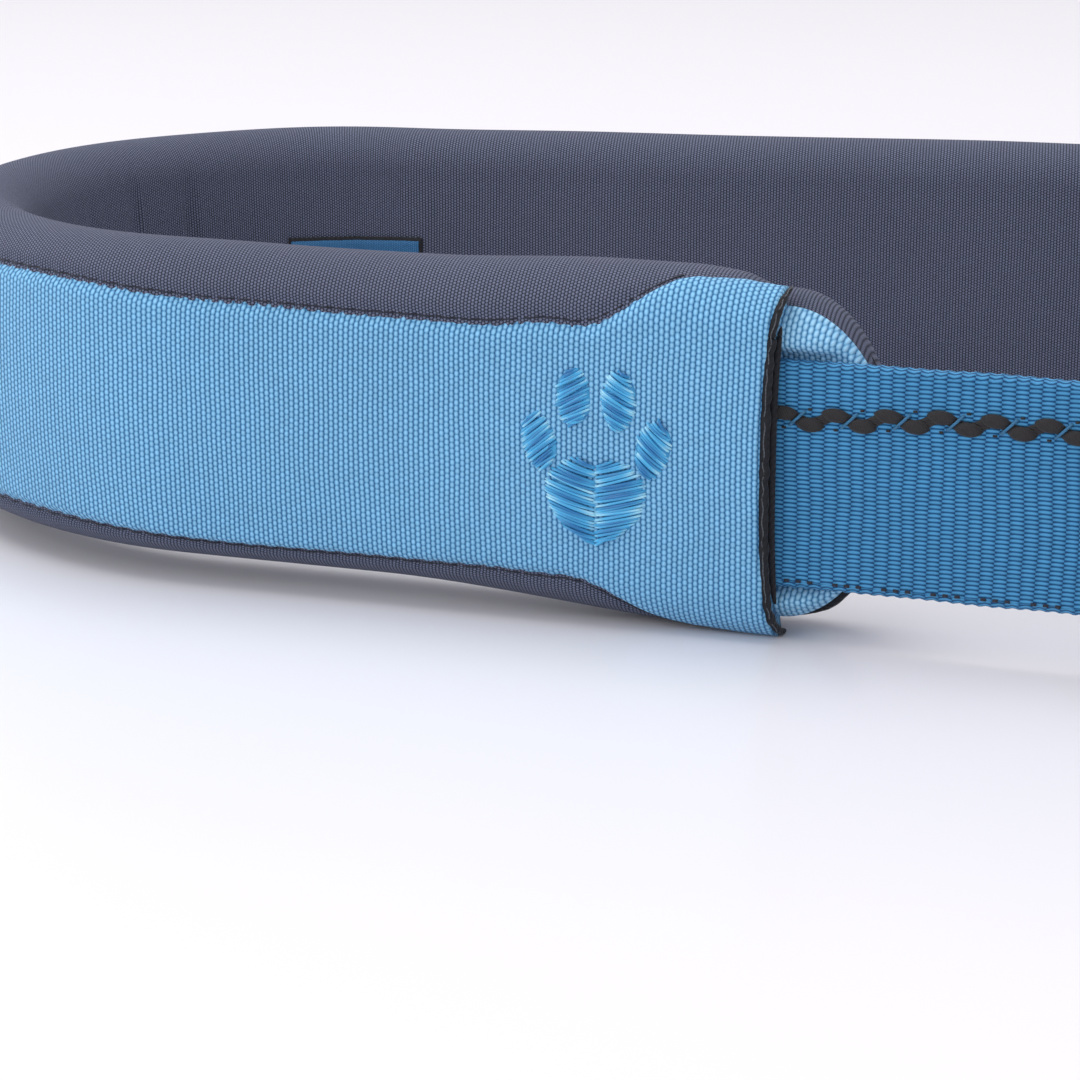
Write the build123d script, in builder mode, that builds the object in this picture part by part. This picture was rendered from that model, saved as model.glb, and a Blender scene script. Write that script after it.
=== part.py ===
"""Padded dog collar, standing on its lower edge.

A 25 mm strap runs round an egg-shaped loop. A soft pad covers its narrow end and most of both
long sides, and the strap passes through a tunnel behind the pad's woven face. The wide end
carries a side-release buckle, an adjusting slider and a leash ring.
"""
import os
from math import cos, radians, sin

from build123d import *

# Loop: the line that the middle of the strap follows, seen from above
nose_radius = 48.0
side_angle = 5.0
loop_axis_length = 150.0
corner_radius = 20.0
nose_x = -52.25
axis_y = -11.14

# Strap
strap_width = 25.0
strap_thick = 1.8
strap_half = strap_thick / 2
strap_z = 18.6
strap_low = strap_z - strap_width / 2

# Pad, in a section across the strap: depth is measured outwards from the strap's middle
pad_height = 39.0
middle_z = pad_height / 2
skin = 1.0
face_depth = 2.7
back_depth = -9.3
parting_depth = -3.3
edge_radius = 4.5
tunnel_floor = -1.9
tunnel_height = 26.4
panel_height = 27.5
flare_length = 22.0
mouth_lead = 9.0
mouth_hollow = 1.4
binding_width = 1.2
tongue_length = 11.0
tongue_half_height = 18.0
tongue_tail = 8.0
front_mouth = 70.0
back_mouth = 101.5
seam_width = 0.6
seam_thick = 0.3

# Braided tracer cord on the strap's outer face
tracer_height = 25.8
tracer_width = 3.0
tracer_thick = 0.7

# Embroidered paw print on the face panel, and the blank label inside the back wall
emblem_along = front_mouth - 19.4
emblem_thick = 0.4
paw_place = (0.0, -4.8)
paw_radii = (5.8, 4.6)
toe_radii = (2.1, 3.1)
toes = ((-6.4, 1.4, 20), (-2.5, 6.4, 8), (2.5, 6.4, -8), (6.4, 1.4, -20))
label_width = 15.0
label_height = 8.5
label_thick = 0.3
label_z = 20.1

# Slider, on the front side between the pad and the buckle
slider_along = 116.0
slider_half_length = 9.0
slider_outer_depth = 4.3
slider_bar_depth = -4.35
slider_bar_radius = 1.2
slider_half_height = 16.3
slider_loop_gap = 0.15
slider_tail = 11.5
slider_bow = 0.6
slider_bar_inset = 1.0
tail_land = 1.0
tail_seam = 3.0
tail_parting = 0.05

# Leash ring and the short strap that holds it, on the back side
ring_along = 121.0
ring_wire = 3.8
ring_half_height = 16.0
ring_leg = 6.0
ring_corner = 3.0
keeper_half_length = 11.0
keeper_thick = 1.4
keeper_half_width = 12.0
return_start = 128.5
hem_start = 115.0
hem_box_length = 12.0
hem_box_height = 19.0
hem_box_inset = 8.0
bartack_place = 8.0
bartack_width = 1.8
bartack_height = 20.0

# Buckle, lying along the loop's flat wide end; lengths run from front to back
buckle_half_width = 16.5
buckle_half_thick = 5.5
rail_half_thick = 3.6
plug_end = -30.0
plug_face = -5.0
socket_face = -4.7
socket_end = 30.0
bar_place = 27.5
bar_radius = 1.5
slot_end = 21.5
slot_half_width = 13.3
cavity_half_width = 13.9
cavity_half_thick = 3.3
cavity_end = 19.8
window_start = 6.0
window_end = 16.5
arm_pivot = (-8.0, 9.6)
arm_half_thick = 2.6
arm_root_radius = 2.4
guide_half_width = 3.2
running_gap = 0.1
clear_gap = 0.3
fold_radius = 3.5
fold_reach = 11.0
fold_parting = 0.2
shell_corner = 4.0
shell_rounding = 1.8
rail_length = 12.0
guide_end = 14.0
pocket_place = (2.0, 0.2)
pocket_length = 4.0
pocket_height = 4.4
groove_start = 8.6
groove_pitch = 2.9
groove_count = 4
groove_width = 1.3
groove_height = 21.0
groove_depth = 0.6
arm_outline = (
    (-7.4, 8.4),
    (4.0, 10.0),
    (14.0, 9.4),
    (18.4, 9.2),
    (18.9, 10.6),
    (16.0, 13.5),
    (13.8, 16.4),
    (7.1, 16.4),
    (7.1, 12.9),
    (-6.4, 11.2),
)

# How far a cutting block reaches past the face that it opens
overrun = 1.0

sine = sin(radians(side_angle))
cosine = cos(radians(side_angle))
end_x = nose_x + loop_axis_length


def straight_side(side, along, depth):
    """Point on a long side: side -1 is the front, +1 the back; along starts at the nose's arc."""
    x = nose_x - sine * (nose_radius + depth) + cosine * along
    y = axis_y + side * (cosine * (nose_radius + depth) + sine * along)
    return (x, y)


def nose_point(depth):
    """Point at the tip of the loop's narrow end."""
    return (nose_x - nose_radius - depth, axis_y)


def corner_centre(side):
    """Centre of the bend between a long side and the flat wide end."""
    x = end_x - corner_radius
    reach = (nose_radius - corner_radius + sine * (x - nose_x)) / cosine
    return (x, axis_y + side * reach)


def corner_point(side, depth, share):
    """Point on a bend: share 0 is at the long side, 1 at the flat end."""
    angle = radians((90 + side_angle) * (1 - share))
    x, y = corner_centre(side)
    reach = corner_radius + depth
    return (x + reach * cos(angle), y + side * reach * sin(angle))


def station(side, along, depth=0.0, height=middle_z):
    """Plane on a long side, facing outwards, its +X pointing away from the nose."""
    x, y = straight_side(side, along, depth)
    return Plane(
        origin=(x, y, height),
        x_dir=(cosine, side * sine, 0),
        z_dir=(-sine, side * cosine, 0),
    )


def end_station(depth=0.0):
    """Plane on the middle of the flat wide end, facing outwards, its +X towards the back."""
    return Plane(origin=(end_x + depth, axis_y, strap_z), x_dir=(0, 1, 0), z_dir=(1, 0, 0))


def pad_lines(inner, outer, front, back):
    """Outline, seen from above, of a band round the nose between two depths."""
    Line(straight_side(-1, front, outer), straight_side(-1, 0, outer))
    ThreePointArc(straight_side(-1, 0, outer), nose_point(outer), straight_side(1, 0, outer))
    Line(straight_side(1, 0, outer), straight_side(1, back, outer))
    Line(straight_side(1, back, outer), straight_side(1, back, inner))
    Line(straight_side(1, back, inner), straight_side(1, 0, inner))
    ThreePointArc(straight_side(1, 0, inner), nose_point(inner), straight_side(-1, 0, inner))
    Line(straight_side(-1, 0, inner), straight_side(-1, front, inner))
    Line(straight_side(-1, front, inner), straight_side(-1, front, outer))


def pad_band(inner, outer, front, back, height, centre=middle_z):
    """Band round the nose, centred on a height."""
    with BuildPart() as band:
        with BuildSketch(Plane.XY.offset(centre - height / 2)):
            with BuildLine():
                pad_lines(inner, outer, front, back)
            make_face()
        extrude(amount=height)
    return band.part


def rounded_pad(shrink, front, back):
    """Whole pad with rolled long edges, shrunk all round."""
    depth_from = back_depth + shrink
    depth_to = face_depth - shrink
    with BuildPart() as pad:
        add(pad_band(depth_from, depth_to, front, back, pad_height - 2 * shrink))
        flats = pad.faces().filter_by(Axis.Z)
        ends = pad.faces().filter_by(GeomType.PLANE).sort_by(Axis.X)[-2:]
        end_edges = [edge.center() for end in ends for edge in end.edges()]
        rims = [
            edge
            for edge in flats.edges()
            if min((edge.center() - point).length for point in end_edges) > 1
        ]
        fillet(rims, edge_radius - shrink)
    return pad.part


def tongue_tail_block(side, mouth, depth_from, depth_to):
    """Part of a tongue's cloth that lies in the tunnel behind the strap."""
    with BuildPart() as block:
        with BuildSketch(station(side, mouth, depth_from, strap_z)):
            with Locations((-tongue_tail / 2, 0)):
                Rectangle(tongue_tail, tunnel_height - 2 * clear_gap)
        extrude(amount=depth_to - depth_from)
    return block.part


def nose_block(side, mouth, inset, depth_from, depth_to):
    """Rounded end of the pad past its mouth, set in from the pad's own outline."""
    half_height = tongue_half_height - inset
    with BuildPart() as block:
        with BuildSketch(station(side, mouth, depth_from)):
            with BuildLine():
                Line((0, half_height), (0, -half_height))
                EllipticalCenterArc(
                    (0, 0), tongue_length - inset, half_height, start_angle=-90, arc_size=180
                )
            make_face()
        extrude(amount=depth_to - depth_from)
    return block.part


def past_mouth(side, mouth, inset, depth_from=parting_depth):
    """Everything outwards of a depth that lies past a mouth's hollow edge."""
    reach = middle_z + 1
    with BuildPart() as block:
        with BuildSketch(station(side, mouth, depth_from)):
            with BuildLine():
                ThreePointArc((-inset, reach), (-inset - mouth_hollow, 0), (-inset, -reach))
                Line((-inset, -reach), (60, -reach))
                Line((60, -reach), (60, reach))
                Line((60, reach), (-inset, reach))
            make_face()
        extrude(amount=face_depth - depth_from + 1)
    return block.part


def flare_block(side, mouth, grow):
    """Stretch where the face panel widens from its band to the pad's whole height."""
    low = panel_height / 2 + grow
    high = middle_z + 1
    start = -mouth_lead - flare_length
    middle = start + flare_length / 2
    with BuildPart() as block:
        with BuildSketch(station(side, mouth, parting_depth)):
            with BuildLine():
                upper = TangentArc((start, low), (middle, (low + high) / 2), tangent=(1, 0))
                TangentArc(upper @ 1, (-mouth_lead, high), tangent=upper % 1)
                Line((-mouth_lead, high), (1, high))
                Line((1, high), (1, -high))
                Line((1, -high), (-mouth_lead, -high))
                lower = TangentArc((start, -low), (middle, -(low + high) / 2), tangent=(1, 0))
                TangentArc(lower @ 1, (-mouth_lead, -high), tangent=lower % 1)
                Line((start, -low), (start, low))
            make_face()
        extrude(amount=face_depth - parting_depth + 1)
    return block.part


def panel_region(grow):
    """Region of the pad's outer half that the face panel covers."""
    band_front = front_mouth - mouth_lead - flare_length
    band_back = back_mouth - mouth_lead - flare_length
    with BuildPart() as region:
        add(
            pad_band(
                parting_depth, face_depth + 1, band_front, band_back, panel_height + 2 * grow
            )
        )
        add(flare_block(-1, front_mouth, grow))
        add(flare_block(1, back_mouth, grow))
    return region.part


pad_outer = rounded_pad(0, front_mouth, back_mouth)
pad_inner = rounded_pad(skin, front_mouth, back_mouth)
outer_half = pad_band(parting_depth, face_depth + 1, front_mouth, back_mouth, pad_height + 2)
mouths = ((-1, front_mouth, "front"), (1, back_mouth, "back"))

# Foam, with the recess that the strap lies in and a thinner rounded end past each mouth
with BuildPart() as foam_core:
    add(pad_inner)
    recess = pad_band(
        tunnel_floor, face_depth, front_mouth, back_mouth, tunnel_height, strap_z
    )
    add(recess, mode=Mode.SUBTRACT)
    for side, mouth, _ in mouths:
        add(past_mouth(side, mouth, binding_width, tunnel_floor), mode=Mode.SUBTRACT)
        add(nose_block(side, mouth, skin, back_depth + skin, tunnel_floor))

# Stretch cloth: the pad's lining, its rolled edges and the back of each rounded end
with BuildPart() as pad_liner:
    add(pad_outer)
    add(pad_inner, mode=Mode.SUBTRACT)
    add(panel_region(0), mode=Mode.SUBTRACT)
    for side, mouth, _ in mouths:
        add(past_mouth(side, mouth, 0), mode=Mode.SUBTRACT)
        add(nose_block(side, mouth, 0, back_depth, back_depth + skin))

# Woven face panel, from one mouth to the other, without the bound edges
with BuildPart() as face_panel:
    add(pad_outer)
    add(pad_inner, mode=Mode.SUBTRACT)
    add(panel_region(0), mode=Mode.INTERSECT)
    for side, mouth, _ in mouths:
        add(past_mouth(side, mouth, binding_width), mode=Mode.SUBTRACT)


def tongue(side, mouth):
    """Face cloth of a rounded pad end, reaching a little way back into the tunnel."""
    depth_to = -strap_half - running_gap / 2
    with BuildPart() as cloth:
        add(nose_block(side, mouth, 0, tunnel_floor, depth_to))
        add(tongue_tail_block(side, mouth, tunnel_floor, depth_to))
    return cloth


def tongue_piping(side, mouth):
    """Bound edge round the foam of a rounded pad end."""
    with BuildPart() as piping:
        add(nose_block(side, mouth, 0, back_depth + skin, tunnel_floor))
        inside = nose_block(side, mouth, skin, back_depth + skin, tunnel_floor)
        add(inside, mode=Mode.SUBTRACT)
    return piping


def mouth_binding(side, mouth):
    """Bound edge along the hollow curve of a tunnel mouth."""
    with BuildPart() as binding:
        add(pad_outer)
        add(pad_inner, mode=Mode.SUBTRACT)
        add(past_mouth(side, mouth, binding_width), mode=Mode.INTERSECT)
        add(past_mouth(side, mouth, 0), mode=Mode.SUBTRACT)
    return binding


front_tongue = tongue(-1, front_mouth)
rear_tongue = tongue(1, back_mouth)
front_tongue_piping = tongue_piping(-1, front_mouth)
rear_tongue_piping = tongue_piping(1, back_mouth)
front_mouth_binding = mouth_binding(-1, front_mouth)
rear_mouth_binding = mouth_binding(1, back_mouth)


def panel_seam(height):
    """Raised line of stitching along one edge of the face panel."""
    front = front_mouth - mouth_lead - flare_length
    back = back_mouth - mouth_lead - flare_length
    with BuildPart() as seam:
        with BuildSketch(Plane.XY.offset(height - seam_width / 2)):
            with BuildLine():
                pad_lines(face_depth, face_depth + seam_thick, front, back)
            make_face()
        extrude(amount=seam_width)
    return seam


upper_panel_seam = panel_seam(middle_z + panel_height / 2)
lower_panel_seam = panel_seam(middle_z - panel_height / 2)

# Paw print in raised thread: one large pad and four toes
with BuildPart() as paw_emblem:
    with BuildSketch(station(-1, emblem_along, face_depth)):
        with Locations(paw_place):
            Ellipse(*paw_radii)
        for across, up, lean in toes:
            with Locations(Location((across, up, 0), (0, 0, lean))):
                Ellipse(*toe_radii)
    extrude(amount=emblem_thick)

# Blank label on the lining, inside the back wall, on the nose's bend
label_end = nose_x - sine * (nose_radius + back_depth)
with BuildPart() as inner_label:
    with BuildSketch(Plane.XY.offset(label_z - label_height / 2)):
        with Locations((nose_x, axis_y)):
            Circle(nose_radius + back_depth)
            Circle(nose_radius + back_depth - label_thick, mode=Mode.SUBTRACT)
        with Locations((label_end - label_width / 2, axis_y + nose_radius)):
            Rectangle(label_width, 2 * nose_radius, mode=Mode.INTERSECT)
    extrude(amount=label_height)


def layer_face(inner, outer, side, start):
    """Outline, seen from above, of a strap layer from a long side round a bend to a fold."""
    fold = side * (bar_place + fold_reach)
    Line(straight_side(side, start, inner), straight_side(side, start, outer))
    Line(straight_side(side, start, outer), corner_point(side, outer, 0))
    ThreePointArc(*(corner_point(side, outer, share) for share in (0, 0.5, 1)))
    Line(corner_point(side, outer, 1), (end_x + outer, axis_y + fold))
    Line((end_x + outer, axis_y + fold), (end_x + inner, axis_y + fold))
    Line((end_x + inner, axis_y + fold), corner_point(side, inner, 1))
    ThreePointArc(*(corner_point(side, inner, share) for share in (1, 0.5, 0)))
    Line(corner_point(side, inner, 0), straight_side(side, start, inner))


def strap_layer(inner, outer, side, start):
    """One layer of strap round a bend of the wide end."""
    with BuildPart() as layer:
        with BuildSketch(Plane.XY.offset(strap_low)):
            with BuildLine():
                layer_face(inner, outer, side, start)
            make_face()
        extrude(amount=strap_width)
    return layer


def buckle_fold(side):
    """Loop of strap round a buckle's bar, from the point where its two layers part."""
    parting_y = axis_y + side * (bar_place + fold_reach - fold_parting / 2)
    bar = (end_x - strap_half, axis_y + side * bar_place)
    parting = (end_x - strap_half, parting_y)
    with BuildPart() as fold:
        with BuildSketch(Plane.XY.offset(strap_low)):
            with BuildSketch(mode=Mode.PRIVATE) as outside:
                with Locations(bar):
                    Circle(fold_radius + strap_half)
                with Locations(parting):
                    Rectangle(2 * strap_thick, fold_parting)
                make_hull()
            with BuildSketch(mode=Mode.PRIVATE) as inside:
                with Locations(bar):
                    Circle(fold_radius - strap_half)
                with Locations(parting):
                    Circle(0.05)
                make_hull()
            add(outside.sketch)
            add(inside.sketch, mode=Mode.SUBTRACT)
        extrude(amount=strap_width)
    return fold.part


# Strap: one length from the plug's bar round the loop to the socket's bar
with BuildPart() as strap:
    with BuildSketch(Plane.XY.offset(strap_low)):
        with BuildLine():
            pad_lines(-strap_half, strap_half, front_mouth, back_mouth)
        make_face()
    extrude(amount=strap_width)
    add(strap_layer(-strap_half, strap_half, -1, front_mouth - 1).part)
    add(strap_layer(-strap_half, strap_half, 1, back_mouth - 1).part)
    add(buckle_fold(-1))
    add(buckle_fold(1))

# The strap's inner layer on each side of the buckle
inner_from = -strap_half - strap_thick
return_layer = strap_layer(inner_from, -strap_half, -1, return_start)
hem_layer = strap_layer(inner_from, -strap_half, 1, hem_start)

with BuildPart() as hem_stitch:
    with BuildSketch(station(1, hem_start, inner_from - seam_thick, strap_z)):
        with Locations((hem_box_inset, 0)):
            Rectangle(hem_box_length, hem_box_height)
            Rectangle(
                hem_box_length - 2 * seam_width,
                hem_box_height - 2 * seam_width,
                mode=Mode.SUBTRACT,
            )
    extrude(amount=seam_thick)

# Tracer cord along the strap's outer face, from the slider's side to the ring's keeper
with BuildPart() as tracer_cord:
    with BuildSketch(Plane.XY.offset(tracer_height - tracer_width / 2)):
        with BuildLine():
            tracer_back = ring_along - keeper_half_length
            pad_lines(strap_half, strap_half + tracer_thick, return_start, tracer_back)
        make_face()
    extrude(amount=tracer_width)


def depth_section(side, along, half_width):
    """Plane whose +X points away from the nose and +Y outwards, at a piece's lower edge."""
    x, y = straight_side(side, along, 0)
    outward = Vector(-sine, side * cosine, 0)
    forward = Vector(cosine, side * sine, 0)
    normal = forward.cross(outward)
    base = strap_z - half_width * normal.Z
    return Plane(origin=(x, y, base), x_dir=forward, z_dir=normal)


# Leash ring: a closed D of round wire whose straight bar stands upright
ring_depth = strap_half + clear_gap + ring_wire / 2
ring_x, ring_y = straight_side(1, ring_along, ring_depth)
ring_plane = Plane(
    origin=(ring_x, ring_y, strap_z), x_dir=(-sine, cosine, 0), z_dir=(cosine, sine, 0)
)
ring_reach = ring_leg + ring_half_height
with BuildPart() as leash_ring:
    with BuildLine(ring_plane) as ring_path:
        straight = ring_half_height - ring_corner
        bend = ring_corner * (1 - sin(radians(45)))
        Line((0, -straight), (0, straight))
        ThreePointArc(
            (0, straight), (bend, ring_half_height - bend), (ring_corner, ring_half_height)
        )
        Line((ring_corner, ring_half_height), (ring_leg, ring_half_height))
        ThreePointArc(
            (ring_leg, ring_half_height), (ring_reach, 0), (ring_leg, -ring_half_height)
        )
        Line((ring_leg, -ring_half_height), (ring_corner, -ring_half_height))
        ThreePointArc(
            (ring_corner, -ring_half_height), (bend, bend - ring_half_height), (0, -straight)
        )
    with BuildSketch(Plane(origin=(ring_x, ring_y, strap_z - straight), z_dir=(0, 0, 1))):
        Circle(ring_wire / 2)
    sweep(path=ring_path.wire())

# Short strap sewn over the ring's bar
with BuildPart() as ring_keeper:
    with BuildSketch(depth_section(1, ring_along, keeper_half_width)):
        with Locations((0, ring_depth)):
            Circle(ring_wire / 2 + clear_gap + keeper_thick)
        with Locations((0, strap_half + keeper_thick / 2)):
            Rectangle(2 * keeper_half_length, keeper_thick)
        with Locations((0, ring_depth)):
            Circle(ring_wire / 2 + clear_gap, mode=Mode.SUBTRACT)
        with Locations((0, ring_depth / 2)):
            Rectangle(ring_wire + 2 * clear_gap, ring_depth, mode=Mode.SUBTRACT)
        with Locations((0, strap_half - 5)):
            Rectangle(2 * keeper_half_length, 10, mode=Mode.SUBTRACT)
    extrude(amount=2 * keeper_half_width)

with BuildPart() as keeper_bartacks:
    with BuildSketch(station(1, ring_along, strap_half + keeper_thick, strap_z)):
        with Locations((-bartack_place, 0), (bartack_place, 0)):
            Rectangle(bartack_width, bartack_height)
    extrude(amount=seam_thick)

# Slider: an arched frame whose end bars lie over the strap and whose middle bar lies under it
arch_low = slider_bar_depth - slider_bar_radius
slider_bar_place = slider_half_length - slider_bar_radius
slider_end_depth = slider_outer_depth - slider_bar_radius
with BuildPart() as slider:
    with BuildSketch(depth_section(-1, slider_along, slider_half_height)):
        with BuildLine():
            left = (-slider_half_length, slider_outer_depth)
            right = (slider_half_length, slider_outer_depth)
            Line(right, (slider_half_length, slider_outer_depth - 2 * slider_bar_radius))
            ThreePointArc(
                (slider_half_length, slider_outer_depth - 2 * slider_bar_radius),
                (0, arch_low),
                (-slider_half_length, slider_outer_depth - 2 * slider_bar_radius),
            )
            Line((-slider_half_length, slider_outer_depth - 2 * slider_bar_radius), left)
            ThreePointArc(left, (0, slider_bar_depth + slider_bar_radius + slider_bow), right)
        make_face()
    extrude(amount=2 * slider_half_height)
    with BuildSketch(station(-1, slider_along, arch_low - overrun, strap_z)):
        Rectangle(2 * (slider_half_length + overrun), 2 * slot_half_width)
    extrude(amount=slider_outer_depth - arch_low + 2 * overrun, mode=Mode.SUBTRACT)
    with BuildSketch(depth_section(-1, slider_along, slider_half_height - slider_bar_inset)):
        with Locations((0, slider_bar_depth)):
            Circle(slider_bar_radius)
        with Locations((-slider_bar_place, slider_end_depth), (slider_bar_place, slider_end_depth)):
            Circle(slider_bar_radius)
    extrude(amount=2 * (slider_half_height - slider_bar_inset))

# The strap's end, sewn round the slider's middle bar
loop_radius = slider_bar_radius + slider_loop_gap
tail_top = -strap_half - clear_gap
with BuildPart() as slider_loop:
    with BuildSketch(depth_section(-1, slider_along, strap_width / 2)):
        with BuildSketch(mode=Mode.PRIVATE) as loop_outside:
            with Locations((0, slider_bar_depth)):
                Circle(loop_radius + strap_thick)
            with Locations((slider_tail - tail_land / 2, tail_top - strap_thick)):
                Rectangle(tail_land, 2 * strap_thick)
            make_hull()
        with BuildSketch(mode=Mode.PRIVATE) as loop_inside:
            with Locations((0, slider_bar_depth)):
                Circle(loop_radius)
            with Locations((slider_tail - tail_seam, tail_top - strap_thick)):
                Circle(tail_parting)
            make_hull()
        add(loop_outside.sketch)
        add(loop_inside.sketch, mode=Mode.SUBTRACT)
    extrude(amount=strap_width)


def buckle_block(start, stop, half_height, half_depth):
    """Block centred on the buckle's long axis."""
    with BuildPart() as block:
        with BuildSketch(end_station(-half_depth)):
            with Locations(((start + stop) / 2, 0)):
                Rectangle(stop - start, 2 * half_height)
        extrude(amount=2 * half_depth)
    return block.part


def buckle_bar(side):
    """Round bar that the strap folds round."""
    with BuildPart() as bar:
        with BuildSketch(Plane.XY.offset(strap_z - slot_half_width - overrun)):
            with Locations((end_x - strap_half, axis_y + side * bar_place)):
                Circle(bar_radius)
        extrude(amount=2 * (slot_half_width + overrun))
    return bar.part


def grip_grooves(side):
    """Shallow grooves for the fingers, across a buckle half's outer face."""
    places = [(side * (groove_start + step * groove_pitch), 0) for step in range(groove_count)]
    with BuildPart() as grooves:
        with BuildSketch(end_station(buckle_half_thick - groove_depth)):
            with Locations(*places):
                SlotOverall(groove_height, groove_width, rotation=90)
        extrude(amount=groove_depth + overrun)
    return grooves.part


def buckle_shell(face, end, side):
    """Rounded body of one half of the buckle, with its strap slot and bar."""
    low, high = sorted((face, end))
    step = side * slot_end
    with BuildPart() as shell:
        with BuildSketch(end_station(-buckle_half_thick)):
            with Locations(((low + high) / 2, 0)):
                Rectangle(high - low, 2 * buckle_half_width)
            outer = [v for v in vertices() if abs(v.X - end) < 0.01]
            fillet(outer, shell_corner)
        extrude(amount=2 * buckle_half_thick)
        rims = shell.faces().filter_by(Axis.X).edges()
        long_rims = [edge for edge in rims if abs(edge.center().Y - axis_y - face) > 0.01]
        fillet(long_rims, shell_rounding)
        rail_cut = buckle_half_thick - rail_half_thick + overrun
        for depth in (rail_half_thick, -rail_half_thick - rail_cut):
            with BuildSketch(end_station(depth)):
                with Locations((step + side * rail_length / 2, 0)):
                    Rectangle(rail_length, 2 * (buckle_half_width + overrun))
            extrude(amount=rail_cut, mode=Mode.SUBTRACT)
        slot_ends = sorted((step, step + side * rail_length))
        slot = buckle_block(*slot_ends, slot_half_width, buckle_half_thick + overrun)
        add(slot, mode=Mode.SUBTRACT)
        add(grip_grooves(side), mode=Mode.SUBTRACT)
        add(buckle_bar(side))
    return shell.part


with BuildPart() as buckle_socket:
    add(buckle_shell(socket_face, socket_end, 1))
    cavity = buckle_block(socket_face - overrun, cavity_end, cavity_half_width, cavity_half_thick)
    add(cavity, mode=Mode.SUBTRACT)
    window_reach = buckle_half_width + overrun
    window = buckle_block(window_start, window_end, window_reach, cavity_half_thick)
    add(window, mode=Mode.SUBTRACT)

pivot_y, pivot_z = arm_pivot
pocket_along, pocket_up = pocket_place
pocket_half_thick = arm_half_thick + clear_gap
with BuildPart() as buckle_plug:
    add(buckle_shell(plug_face, plug_end, -1))
    add(buckle_block(plug_face - overrun, guide_end, guide_half_width, arm_half_thick))
    with BuildSketch(end_station(-pocket_half_thick)):
        for lean in (-1, 1):
            with Locations((pivot_y, lean * pivot_z)):
                Circle(arm_root_radius + running_gap)
            with Locations((pivot_y + pocket_along, lean * (pivot_z + pocket_up))):
                Rectangle(pocket_length, pocket_height)
    extrude(amount=2 * pocket_half_thick, mode=Mode.SUBTRACT)


def latch_arm(lean):
    """Springy arm of the plug, whose head shows in the socket's side window."""
    with BuildPart() as arm:
        with BuildSketch(end_station(-arm_half_thick)):
            with BuildLine():
                Polyline(*((along, lean * up) for along, up in arm_outline), close=True)
            make_face()
            with Locations((pivot_y, lean * pivot_z)):
                Circle(arm_root_radius)
        extrude(amount=2 * arm_half_thick)
    return arm


upper_latch_arm = latch_arm(1)
lower_latch_arm = latch_arm(-1)

pieces = {
    "foam_core": foam_core,
    "pad_liner": pad_liner,
    "face_panel": face_panel,
    "front_tongue": front_tongue,
    "rear_tongue": rear_tongue,
    "front_tongue_piping": front_tongue_piping,
    "rear_tongue_piping": rear_tongue_piping,
    "front_mouth_binding": front_mouth_binding,
    "rear_mouth_binding": rear_mouth_binding,
    "upper_panel_seam": upper_panel_seam,
    "lower_panel_seam": lower_panel_seam,
    "paw_emblem": paw_emblem,
    "inner_label": inner_label,
    "strap": strap,
    "strap_return": return_layer,
    "strap_hem": hem_layer,
    "hem_stitch": hem_stitch,
    "tracer_cord": tracer_cord,
    "leash_ring": leash_ring,
    "ring_keeper": ring_keeper,
    "keeper_bartacks": keeper_bartacks,
    "slider": slider,
    "slider_loop": slider_loop,
    "buckle_socket": buckle_socket,
    "buckle_plug": buckle_plug,
    "upper_latch_arm": upper_latch_arm,
    "lower_latch_arm": lower_latch_arm,
}
os.makedirs("parts", exist_ok=True)
for name, piece in pieces.items():
    piece.part.label = name
    export_step(piece.part, f"parts/{name}.step")
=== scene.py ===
"""Looks of a padded dog collar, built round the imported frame.

Lengths in the shape code are millimetres, and each mesh is scaled to metres as it is made.
A place on the collar is given by q, the distance along the strap's middle line from the tip of
the narrow end (negative on the front side, positive on the back), by depth, measured outwards
from that line, and by height above the surface that the collar stands on.
"""
import math

import bmesh
import bpy
import numpy as np
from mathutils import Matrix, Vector


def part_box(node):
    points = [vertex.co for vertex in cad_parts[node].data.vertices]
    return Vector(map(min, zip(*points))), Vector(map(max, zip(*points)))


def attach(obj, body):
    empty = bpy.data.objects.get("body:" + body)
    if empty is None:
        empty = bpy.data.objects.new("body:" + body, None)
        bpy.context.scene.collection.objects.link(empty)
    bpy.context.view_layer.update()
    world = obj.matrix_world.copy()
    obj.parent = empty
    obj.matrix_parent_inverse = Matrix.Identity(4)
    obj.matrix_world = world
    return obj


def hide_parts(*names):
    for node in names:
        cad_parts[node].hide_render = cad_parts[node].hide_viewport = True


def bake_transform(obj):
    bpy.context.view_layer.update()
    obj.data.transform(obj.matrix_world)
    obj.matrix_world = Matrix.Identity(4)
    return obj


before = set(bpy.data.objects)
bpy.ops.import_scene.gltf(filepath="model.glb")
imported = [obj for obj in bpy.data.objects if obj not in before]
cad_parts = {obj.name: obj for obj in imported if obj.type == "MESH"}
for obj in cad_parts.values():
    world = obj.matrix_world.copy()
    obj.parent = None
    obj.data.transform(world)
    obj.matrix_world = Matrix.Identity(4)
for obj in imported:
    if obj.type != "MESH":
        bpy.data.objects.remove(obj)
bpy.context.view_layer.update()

MM = 0.001

# The loop, as the CAD part has it
NOSE_RADIUS = 48.0
SIDE_ANGLE = math.radians(5.0)
CORNER_RADIUS = 20.0
AXIS_Y = -11.14
STRAP_WIDTH = 25.0
STRAP_THICK = 1.8
STRAP_DROP = 0.9

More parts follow.
